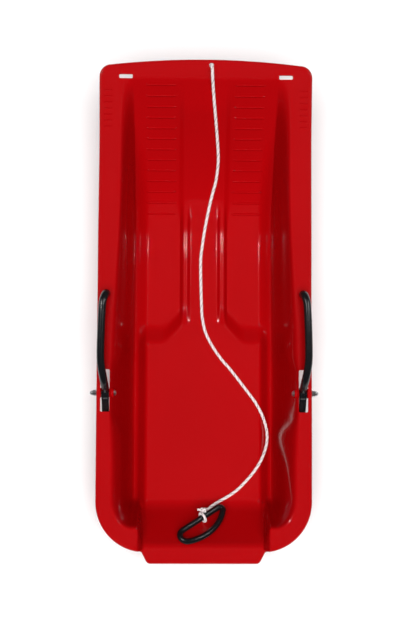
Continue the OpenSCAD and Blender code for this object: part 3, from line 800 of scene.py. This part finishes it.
def blade_outline():
    """The blade from the side, hub at the origin, with four teeth under its tip."""
    half = BLADE_W / 2
    pts = [(0, HUB_R - 2), (-BLADE_LEN + 10, half - 2), (-BLADE_LEN, half - 8)]
    for i in range(TEETH):
        pts += [(-BLADE_LEN + 2 + i * TOOTH, -half), (-BLADE_LEN + (i + 1) * TOOTH, -half + 6)]
    pts += [(-BLADE_LEN + TEETH * TOOTH + 4, -half + 4), (0, -HUB_R + 2)]
    return pts


def brake_lever(name, side, black):
    """Grip, hub and blade run together into one moulding."""
    line = smooth_line(GRIP_PATH, 3) * [side, 1, 1]
    grip = swept("grip", line, circle(GRIP_R, 28), [black])
    a = math.radians(BLADE_ANGLE)
    outline = [(PIVOT_Y + y * math.cos(a) - z * math.sin(a), PIVOT_Z + y * math.sin(a) + z * math.cos(a))
               for y, z in blade_outline()]
    m, half = len(outline), BLADE_T / 2
    verts = [(side * LEVER_X + s * half, y, z) for s in (-1, 1) for y, z in outline]
    faces = [(k, (k + 1) % m, m + (k + 1) % m, m + k) for k in range(m)]
    faces += [tuple(range(m)), tuple(range(m, 2 * m))]
    blade = add_mesh("blade", verts, faces, [black])
    outward(blade)
    f = HUB_EDGE
    hub = turned("hub", [(LEVER_IN, 0), (LEVER_IN, HUB_R - f), (LEVER_IN + f, HUB_R),
                         (LEVER_OUT - f, HUB_R), (LEVER_OUT, HUB_R - f), (LEVER_OUT, 0)],
                 side, [black])
    for other in (blade, hub):
        step = grip.modifiers.new("with", "BOOLEAN")
        step.operation, step.solver, step.object = "UNION", "EXACT", other
    fuse = grip.modifiers.new("fuse", "REMESH")
    fuse.mode, fuse.voxel_size = "VOXEL", FUSE_VOXEL * MM
    ease_off = grip.modifiers.new("ease", "SMOOTH")
    ease_off.factor, ease_off.iterations = 0.5, 5
    baked(grip)
    bpy.data.objects.remove(blade)
    bpy.data.objects.remove(hub)
    bore = BOLT_D / 2 + LEVER_FIT
    cut_away(grip, [turned("bore", [(LEVER_IN - 5, bore), (LEVER_OUT + 5, bore)], side, [])])
    grip.name = grip.data.name = name
    grip.data.materials.clear()
    grip.data.materials.append(black)
    soften(grip, 50)
    return grip


# ---- Pivot fasteners --------------------------------------------------------------

HEAD_FACE, NUT_FACE = BOSS_IN - WASHER_T, LIP_FACE + WASHER_T
NUT_H, NUT_FLATS = BOLT_D * 1.7, BOLT_D * 1.667


def fasteners(side, tag, zinc):
    r, head_h, head_r = BOLT_D / 2, BOLT_D * 0.55, BOLT_D * 0.875
    # The button head's crown is a slice of a ball
    crown = [(HEAD_FACE - head_h * math.cos(t), head_r * math.sin(t) ** 0.8)
             for t in np.linspace(0.42, math.pi / 2, 9)]
    bolt = turned(f"bolt_{tag}", [(crown[0][0] + 2.0, 0), (crown[0][0] + 2.0, 2.1)] + crown
                  + [(HEAD_FACE, r), (NUT_FACE + NUT_H - 3.4, r), (NUT_FACE + NUT_H - 3, r - 0.4),
                     (NUT_FACE + NUT_H - 3, 0)], side, [zinc])
    made = [(bolt, "pivot_bolt")]
    c = 0.3
    for name, x in (("inner_washer", HEAD_FACE), ("outer_washer", LIP_FACE)):
        a, b, w = r + 0.2, r + WASHER_RIM, WASHER_T
        made.append((turned(f"{name}_ring_{tag}",
                            [(x, a), (x, b - c), (x + c, b), (x + w - c, b), (x + w, b - c),
                             (x + w, a), (x, a)], side, [zinc]), name))
    dome, flat = NUT_FLATS * 0.47, BOLT_D * 0.7
    skirt = [(NUT_FACE, r + 0.05), (NUT_FACE, NUT_FLATS / 2 - 0.4), (NUT_FACE + 0.4, NUT_FLATS / 2),
             (NUT_FACE + flat - 0.4, NUT_FLATS / 2), (NUT_FACE + flat, NUT_FLATS / 2 - 0.4)]
    nut = turned(f"acorn_{tag}", skirt + [(NUT_FACE + flat, r + 0.05), (NUT_FACE, r + 0.05)],
                 side, [zinc], n=72, flats=6)
    ball = [(NUT_FACE + NUT_H - dome + dome * math.sin(t), dome * math.cos(t))
            for t in np.linspace(0, math.pi / 2, 12)]
    ball[-1] = (NUT_FACE + NUT_H, 0)
    cap = turned(f"acorn_dome_{tag}", [(NUT_FACE + flat - 0.5, 0), (NUT_FACE + flat - 0.5, dome)]
                 + ball, side, [zinc])
    made += [(nut, "cap_nut"), (cap, "cap_nut")]
    return made


# ---- Braided rope, its knots and the handle ------------------------------------------

ROPE_ROUTE = [
    (10, 453, 174), (10, 453, 191), (10.5, 449, 198), (11, 441, 201),
    (11.5, 431, 197.5), (12.5, 421, 188.5), (14, 407, 174), (17, 381, 155.5), (20, 358, 136),
    (24, 324, 107.5), (26, 298, 86.5), (24.5, 275, 69.5), (21.5, 257, 58),
    (17, 241, 49.5), (10, 212, 39.5), (2, 171, 36), (-3, 137, 35.5),
    (-6, 103, 35.5), (-4, 22, 35.5), (-2, -4, 35.5), (4, -30, 35.5),
    (17, -56, 35.5), (35, -82, 35.5), (55, -105, 35.5), (95, -157, 35.5),
    (104, -171, 35.5), (112, -186, 33.5), (119, -203, 23.5), (123, -219, 17.5), (123.5, -236, 17.5),
    (119.5, -254, 22.5), (112, -272, 33.5), (104, -286, 36), (90, -305, 35.5), (68, -328, 35.5),
    (52, -340, 36), (38, -348, 38.5), (27, -354, 43), (17, -360, 50), (7, -367.5, 60),
]
# Strands each way, sides of a strand, and the length of a turn in diameters
STRANDS, STRAND_SIDES, TURN = 6, 5, 4.2
# Half widths of a strand, how far it rises and sinks, and the core, in diameters
STRAND_WIDE, STRAND_THICK, STRAND_LIFT, CORE_SHARE = 0.175, 0.10, 0.055, 0.32
TRACER_EVERY, TRACER_SHARE = 3, 0.55


def braided(name, line, d, yarns, closed=False):
    """Strands wound both ways round a line, rising and sinking where they cross.

    Every third strand of one way is a thinner dark tracer, which shows as flecks.
    """
    sides = STRAND_SIDES
    step = float(np.linalg.norm(np.diff(line, axis=0), axis=1).mean())
    start = (0, 0, 1) if abs(headings(line, closed)[0][2]) < 0.8 else (1, 0, 0)
    us, vs = carried_sides(line, closed, start)
    n = len(line)
    reach = np.concatenate([[0], np.cumsum(np.linalg.norm(np.diff(line, axis=0), axis=1))])
    pitch = TURN * d
    if closed:
        around = reach[-1] + step
        pitch = around / round(around / pitch)
        # Closing the loop needs the side directions to meet again
        t = headings(line, True)[0]
        back = us[-1] - us[-1].dot(t) * t
        miss = math.atan2(np.cross(back, us[0]).dot(t), back.dot(us[0]))
        share = miss * np.arange(n) / n
        us, vs = (us * np.cos(share)[:, None] + vs * np.sin(share)[:, None],
                  vs * np.cos(share)[:, None] - us * np.sin(share)[:, None])
    thick, high, wide = STRAND_THICK * d, STRAND_LIFT * d, STRAND_WIDE * d
    middle = d / 2 - thick - high
    verts, faces, finishes = [], [], []
    for way in (1, -1):
        for k in range(STRANDS):
            turn = way * 2 * np.pi * (reach / pitch) + 2 * np.pi * k / STRANDS
            beat = np.cos(STRANDS * (2 * np.pi * reach / pitch) + k * np.pi)
            lift = middle + way * high * beat
            base, finish = len(verts), int(way == 1 and k % TRACER_EVERY == 0)
            spread = wide * (TRACER_SHARE if finish else 1)
            for i in range(n):
                out = math.cos(turn[i]) * us[i] + math.sin(turn[i]) * vs[i]
                side = -math.sin(turn[i]) * us[i] + math.cos(turn[i]) * vs[i]
                centre = line[i] + lift[i] * out
                for q in range(sides):
                    a = 2 * np.pi * q / sides + np.pi / 2
                    verts.append(centre + spread * math.cos(a) * side + thick * math.sin(a) * out)
            for i in range(n if closed else n - 1):
                for q in range(sides):
                    j, r = (i + 1) % n, (q + 1) % sides
                    faces.append((base + i * sides + q, base + j * sides + q,
                                  base + j * sides + r, base + i * sides + r))
                    finishes.append(finish)
            if not closed:
                for i, flip in ((0, 1), (n - 1, -1)):
                    faces.append(tuple(base + i * sides + q for q in range(sides))[::flip])
                    finishes.append(finish)
    obj = add_mesh(name, verts, faces, yarns)
    obj.data.polygons.foreach_set("material_index", finishes)
    outward(obj)
    return obj


def even_line(points, step, closed=False):
    """A smooth line through points, re-spaced to even steps."""
    fine = smooth_line(list(points) + ([points[0]] if closed else []), 0.5)
    if closed:
        fine = fine[:-1]
    reach = np.concatenate([[0], np.cumsum(np.linalg.norm(np.diff(fine, axis=0), axis=1))])
    at = np.linspace(0, reach[-1], max(8, int(round(reach[-1] / step)) + 1))
    return np.stack([np.interp(at, reach, fine[:, q]) for q in range(3)], 1)


HANDLE_AT, HANDLE_LEAN, HANDLE_TURN, HANDLE_BIG = (0, -365, 58.5), 140.6, -43.7, (-29, 60, 0)
HANDLE_L, HANDLE_R1, HANDLE_R2, HANDLE_BOW, KNOT_ALONG = 83, 14.25, 6.5, 85, 47


def handle_frame():
    """From the handle's own plane, with its large end at the middle, to the sled."""
    lean = Matrix.Rotation(math.radians(HANDLE_LEAN), 4, "X")
    turn = Matrix.Rotation(math.radians(HANDLE_TURN), 4, "Z")
    return Matrix.Translation(HANDLE_AT) @ lean @ Matrix.Translation(HANDLE_BIG) @ turn


HANDLE_SLANT = math.degrees(math.asin((HANDLE_R1 - HANDLE_R2) / HANDLE_L))


def handle_ring():
    b1, b2 = HANDLE_BOW - HANDLE_R1, HANDLE_BOW - HANDLE_R2
    bx = (b1 * b1 - b2 * b2 + HANDLE_L ** 2) / (2 * HANDLE_L)
    by = -math.sqrt(b1 * b1 - bx * bx)
    b_from = math.degrees(math.atan2(-by, HANDLE_L - bx))
    b_to = math.degrees(math.atan2(-by, -bx))
    parts = [arc(0, 0, HANDLE_R1, b_to, 270 + HANDLE_SLANT, 24)[:, :2],
             arc(HANDLE_L, 0, HANDLE_R2, -90 + HANDLE_SLANT, b_from, 20)[:, :2],
             arc(bx, by, HANDLE_BOW, b_from, b_to, 24)[:, :2]]
    a, b = parts[0][-1], parts[1][0]
    straight = a + (b - a) * np.linspace(0, 1, 22)[1:-1, None]
    flat = np.vstack([parts[0], straight, parts[1][:-1], parts[2][:-1]])
    keep = [i for i in range(len(flat))
            if np.linalg.norm(flat[i] - flat[(i + 1) % len(flat)]) > 0.01]
    frame_of = np.array(handle_frame())
    pts = np.c_[flat[keep], np.zeros(len(keep)), np.ones(len(keep))]
    return (pts @ frame_of.T)[:, :3]


def rope_handle(black):
    """A moulded loop, a little flatter than round, with its parting line."""
    r = BAR_D / 2
    t = np.linspace(0, 2 * np.pi, 28, endpoint=False)
    seam = 1 + 0.045 * np.exp(-((np.abs(np.sin(t)) / 0.12) ** 2)) - 0.02
    ring = np.stack([r * seam * np.cos(t), r * seam * np.sin(t)], 1)
    normal = np.array(handle_frame())[:3, 2]
    return swept("pull_handle", handle_ring(), ring, [black], closed=True, start=normal)


def loop_about(centre, axis, radius, n):
    """A ring of n points about an axis."""
    axis = np.asarray(axis, float) / np.linalg.norm(axis)
    u = np.cross(axis, [0.2, 0.1, 1])
    u /= np.linalg.norm(u)
    v = np.cross(axis, u)
    a = np.linspace(0, 2 * np.pi, n, endpoint=False)
    return [centre + radius * (math.cos(t) * u + math.sin(t) * v) for t in a]


def overhand(centre, size, u, v, w):
    """The line of a tight overhand knot, left open where its two ends come out."""
    t = np.linspace(0.25, 2 * np.pi - 0.25, 40)
    p = np.stack([np.sin(t) + 2 * np.sin(2 * t), np.cos(t) - 2 * np.cos(2 * t),
                  -np.sin(3 * t)], 1) / 3
    base = np.array([u, v, w], float)
    return np.asarray(centre) + size * p @ base


def knots(yarns):
    """The stopper under the nose, and the knot that ties the handle on."""
    made = []
    d = ROPE_D * 0.9
    top = np.array(ROPE_ROUTE[0])
    line = overhand(top + [0, 0, -2.5], 4.6, (1, 0, 0), (0, 1, 0), (0, 0, 1.1))
    made.append(("nose_knot", braided("nose_stopper", even_line(line, 0.8), d, yarns)))
    tail = [top + [2.5, 0.5, -5], top + [3.4, 0.6, -9], top + [3.6, 0.3, -14.5]]
    made.append(("nose_knot", braided("nose_tail", even_line(tail, 0.8), d * 0.95, yarns)))
    # One turn round the handle's straight side
    hold = handle_frame() @ Matrix.Rotation(math.radians(HANDLE_SLANT), 4, "Z")
    centre = np.array(hold @ Vector((KNOT_ALONG, -HANDLE_R1, 0)))
    axis = np.array((hold.to_3x3() @ Vector((1, 0, 0))))
    turn = loop_about(centre, axis, BAR_D / 2 + ROPE_D * 0.45, 40)
    ring = even_line(turn, 0.8, closed=True)
    made.append(("handle_knot", braided("handle_turn", ring, d, yarns, closed=True)))
    end = np.array(ROPE_ROUTE[-1])
    line = overhand(end + [-6, -1, 6], 5.6, (0.8, 0.2, 0.3), (-0.3, 0.9, 0.2), (0.1, -0.3, 1))
    made.append(("handle_knot", braided("handle_tie", even_line(line, 0.8), d, yarns)))
    stub = [end + [-7, -1, 5.5], end + [-12, 0.5, 5.5], end + [-17.5, 1.5, 4.5]]
    made.append(("handle_knot", braided("handle_tail", even_line(stub, 0.8), d * 0.9, yarns)))
    return made


# ---- Stage ------------------------------------------------------------------------------

def area_light(name, at, toward, size, watts):
    data = bpy.data.lights.new(name, "AREA")
    data.shape = "RECTANGLE"
    data.size, data.size_y = size
    data.energy = watts
    light = bpy.data.objects.new(name, data)
    light.location = at
    light.rotation_euler = (Vector(toward) - Vector(at)).to_track_quat("-Z", "Y").to_euler()
    bpy.context.scene.collection.objects.link(light)
    return light


def make_stage():
    size = 8.0
    mesh = bpy.data.meshes.new("studio_floor")
    mesh.from_pydata([(-size, -size, 0), (size, -size, 0), (size, size, 0), (-size, size, 0)],
                     [], [(0, 1, 2, 3)])
    floor = bpy.data.objects.new("studio_floor", mesh)
    bpy.context.scene.collection.objects.link(floor)
    m = Finish("studio_paper", (0.97, 0.97, 0.97), roughness=0.9)
    m.set("Specular IOR Level", 0.1)
    mesh.materials.append(m.material)
    # A broad key overhead, a little to the tail and left out of reflections
    data = bpy.data.lights.new("key", "SUN")
    data.energy, data.angle = 3.8, math.radians(55)
    key = bpy.data.objects.new("key", data)
    key.rotation_euler = (math.radians(9), 0, 0)
    key.visible_glossy = False
    bpy.context.scene.collection.objects.link(key)
    # Thin strips high on each side draw fine lines along the bends of the rims
    for way in (-1, 1):
        strip = area_light(f"strip_{way + 1}", (1.35 * way, 0.66, 2.1), (0, 0.1, 0.1),
                           (0.03, 1.1), 20.0)
        strip.visible_diffuse = False
    world = bpy.data.worlds.new("studio")
    bpy.context.scene.world = world
    world.use_nodes = True
    back = world.node_tree.nodes["Background"]
    back.inputs["Color"].default_value = (1, 1, 1, 1)
    # A pale backdrop, with little of it mirrored in the gloss
    paths = world.node_tree.nodes.new("ShaderNodeLightPath")
    amount = world.node_tree.nodes.new("ShaderNodeMapRange")
    amount.inputs["To Min"].default_value = 0.035
    amount.inputs["To Max"].default_value = 0.95
    world.node_tree.links.new(paths.outputs["Is Camera Ray"], amount.inputs["Value"])
    world.node_tree.links.new(amount.outputs[0], back.inputs["Strength"])
    bpy.context.scene.view_settings.view_transform = "Standard"


# ---- Making -------------------------------------------------------------------------------

make_camera()
white = rope_yarn("fleck_rope", (0.90, 0.78, 0.78), (0.97, 0.88, 0.88))
fleck = rope_yarn("fleck_rope_tracer", (0.010, 0.008, 0.009), (0.03, 0.025, 0.027))
red = red_plastic()
black = black_plastic("black_plastic", 0.15, 900.0)
black_grip = black_plastic("black_handle", 0.18, 1100.0)
zinc = zinc_steel()


def finished(piece, body, node):
    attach(piece, body)
    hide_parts(node)
    return piece


rope_line = even_line(ROPE_ROUTE, 0.85)
rope = braided("rope_braid", rope_line, ROPE_D, [white, fleck])
finished(rope, SLED, "pull_rope")
inner = swept("rope_core", rope_line[::4], circle(ROPE_D * CORE_SHARE, 12), [white])
finished(inner, SLED, "pull_rope")
for node, piece in knots([white, fleck]):
    finished(piece, SLED, node)
handle = finished(rope_handle(black_grip), SLED, "rope_handle")

shell = hull_shell(red)
cut_away(shell, hull_cutters())
soften(shell, 38)
finished(shell, SLED, "hull")
for rib in hull_ribs(red):
    finished(rib, SLED, "hull")
for side, tag, body in ((-1, "left", LEFT), (1, "right", RIGHT)):
    for name, x0, x1 in (("inner_boss", BOSS_IN, LEVER_IN - LEVER_GAP),
                         ("outer_boss", LEVER_OUT + LEVER_GAP, LIP_FACE - WALL / 2)):
        finished(pivot_boss(f"{name}_{tag}", x0, x1, side, red), SLED, "hull")
    finished(keel(f"keel_{tag}", side, red), SLED, "hull")
    finished(brake_lever(f"lever_{tag}", side, black), body,
             f"brake_lever_{tag}")
    for piece, node in fasteners(side, tag, zinc):
        finished(piece, SLED, f"{node}_{tag}")

make_stage()
